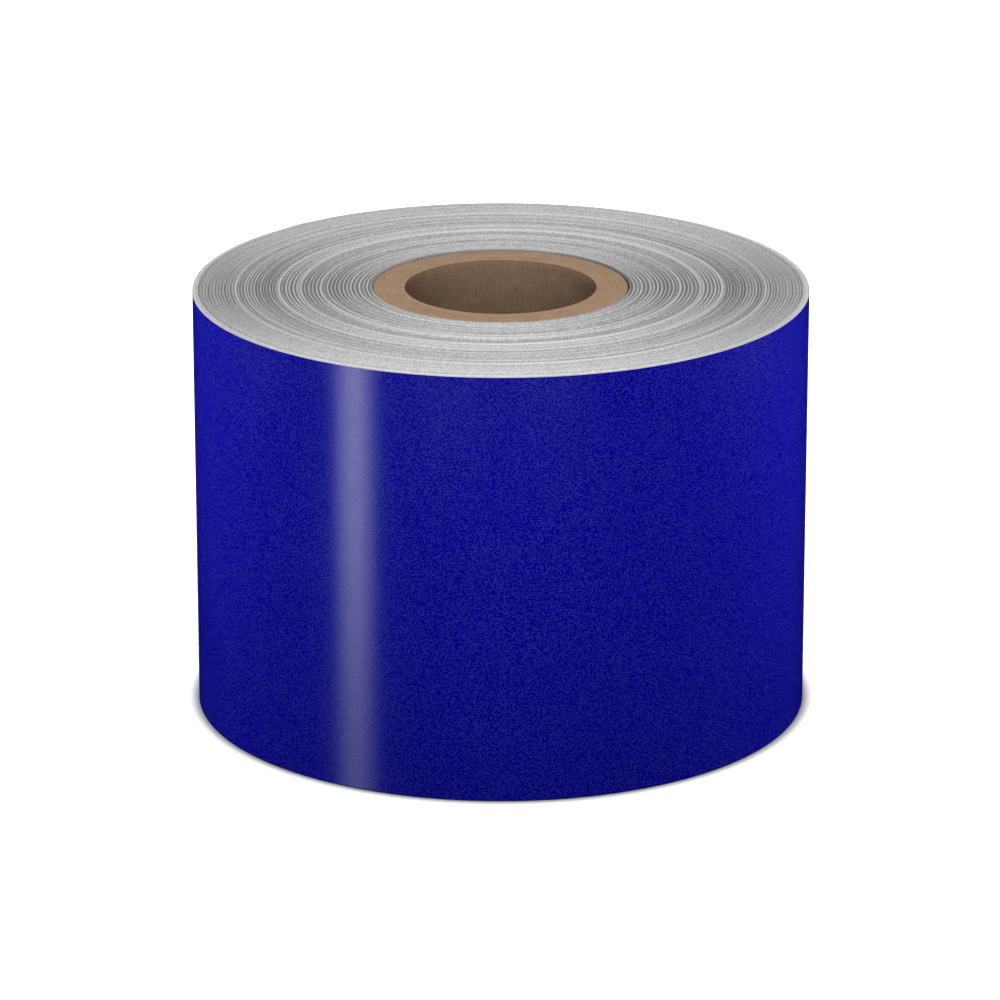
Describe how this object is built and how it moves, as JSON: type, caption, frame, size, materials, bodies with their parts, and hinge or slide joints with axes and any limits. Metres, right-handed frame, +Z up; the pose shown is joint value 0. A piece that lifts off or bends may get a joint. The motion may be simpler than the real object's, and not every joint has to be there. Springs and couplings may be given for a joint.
{
  "type": "roll of self-adhesive sign vinyl",
  "caption": "Short wide roll of blue self-adhesive vinyl film on a release liner, wound film side out on a paper core; the tail lifts and the film's end peels.",
  "frame": {"origin": "on the roll's axis, at the surface it stands on", "axes": "+Z up along the roll's axis; the free end of the strip lies at the back left, 135 degrees from +X towards +Y"},
  "size_m": [0.0818, 0.0819, 0.0574],
  "materials": {
    "core_paper": "matte",
    "wound_strip": "satin",
    "vinyl_film": "satin",
    "release_liner": "satin",
    "paper_tape": "satin"
  },
  "bodies": {
    "roll": {"core_inner_ply": "core_paper", "core_ply_2": "core_paper", "core_ply_3": "core_paper", "core_ply_4": "core_paper", "core_ply_5": "core_paper", "core_outer_ply": "core_paper", "start_tape": "paper_tape", "turns_001_014": "wound_strip", "turns_015_027": "wound_strip", "turns_028_041": "wound_strip", "turns_042_055": "wound_strip", "turns_056_068": "wound_strip", "turns_069_082": "wound_strip", "turns_083_096": "wound_strip", "turns_097_109": "wound_strip", "turns_110_123": "wound_strip", "turns_124_137": "wound_strip", "turns_138_150": "wound_strip", "turns_151_164": "wound_strip", "last_turn_liner": "release_liner", "last_turn_film": "vinyl_film"},
    "tail": {"tail_liner": "release_liner", "tail_film": "vinyl_film"},
    "free_film": {"film_end": "vinyl_film", "tail_tab": "paper_tape"}
  },
  "joints": [
    {"name": "tail_lift", "type": "hinge", "parent": "roll", "child": "tail", "pos_m": [0.00709, 0.04021, 0.0286], "axis": [0, 0, -1], "range_deg": [0, 90], "stiffness_Nm_per_rad": 0.0007},
    {"name": "film_peel", "type": "hinge", "parent": "tail", "child": "free_film", "pos_m": [-0.01401, 0.03848, 0.0286], "axis": [0, 0, -1], "range_deg": [0, 120], "stiffness_Nm_per_rad": 0.00023}
  ]
}
